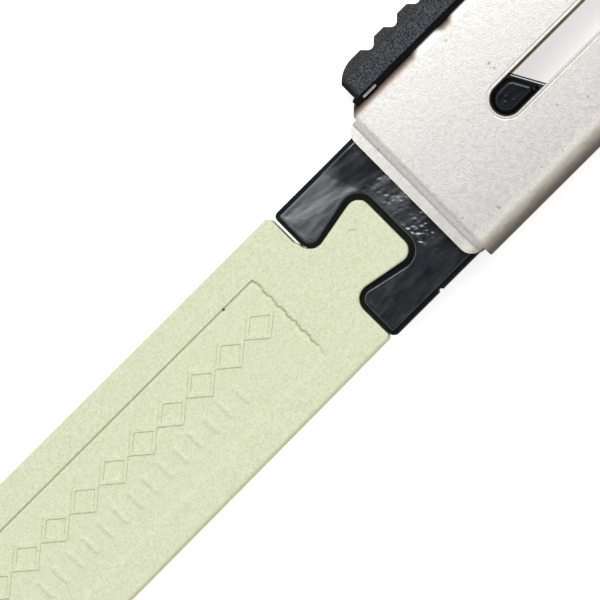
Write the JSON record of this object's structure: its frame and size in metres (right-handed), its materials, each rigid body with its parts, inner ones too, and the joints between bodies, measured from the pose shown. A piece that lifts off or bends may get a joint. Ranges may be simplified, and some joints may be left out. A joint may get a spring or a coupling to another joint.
{
  "type": "slide-out eraser holder",
  "caption": "Flat pocket eraser holder: folded steel sheath, ridged thumb button on the narrow edge, sliding dovetail jaw and flat vinyl refill.",
  "frame": {"origin": "middle of the underside of the whole holder's bounding box, with the refill fully out, on the plane that it rests on", "axes": "+X along the holder, from the refill's free end to the end cap; +Y across it, towards the thumb button; +Z out of the face that carries the pocket clip"},
  "size_m": [0.1438, 0.0166, 0.0074],
  "materials": {
    "sheath_steel": "satin nickel plated sheet",
    "cap_plastic": "fine matt moulded",
    "clip_steel": "satin nickel plated spring steel",
    "rivet_steel": "bright zinc plated",
    "carrier_plastic": "glossy moulded",
    "button_plastic": "spark-eroded matt moulded",
    "plate_steel": "bright steel strip",
    "eraser_vinyl": "matt vinyl with fine grain"
  },
  "bodies": {
    "sheath": {"sheath": "sheath_steel"},
    "slider": {"carrier": "carrier_plastic", "thumb_button": "button_plastic", "slide_plate": "plate_steel", "leaf_spring": "plate_steel", "eraser_refill": "eraser_vinyl"},
    "rear_cap": {"end_cap": "cap_plastic", "clip_foot": "clip_steel", "clip_rivet": "rivet_steel", "rivet_washer": "rivet_steel"},
    "clip": {"clip_arm": "clip_steel"}
  },
  "joints": [
    {"name": "carrier_slide", "type": "slide", "parent": "sheath", "child": "slider", "axis": [1, 0, 0], "range_m": [0, 0.056]},
    {"name": "cap_pull", "type": "slide", "parent": "sheath", "child": "rear_cap", "axis": [1, 0, 0], "range_m": [0, 0.012]},
    {"name": "clip_flex", "type": "hinge", "parent": "rear_cap", "child": "clip", "pos_m": [0.0669, -0.00108, 0.00652], "axis": [0, 1, 0], "range_deg": [0, 4], "stiffness_Nm_per_rad": 0.6, "springref_deg": -1.15}
  ]
}
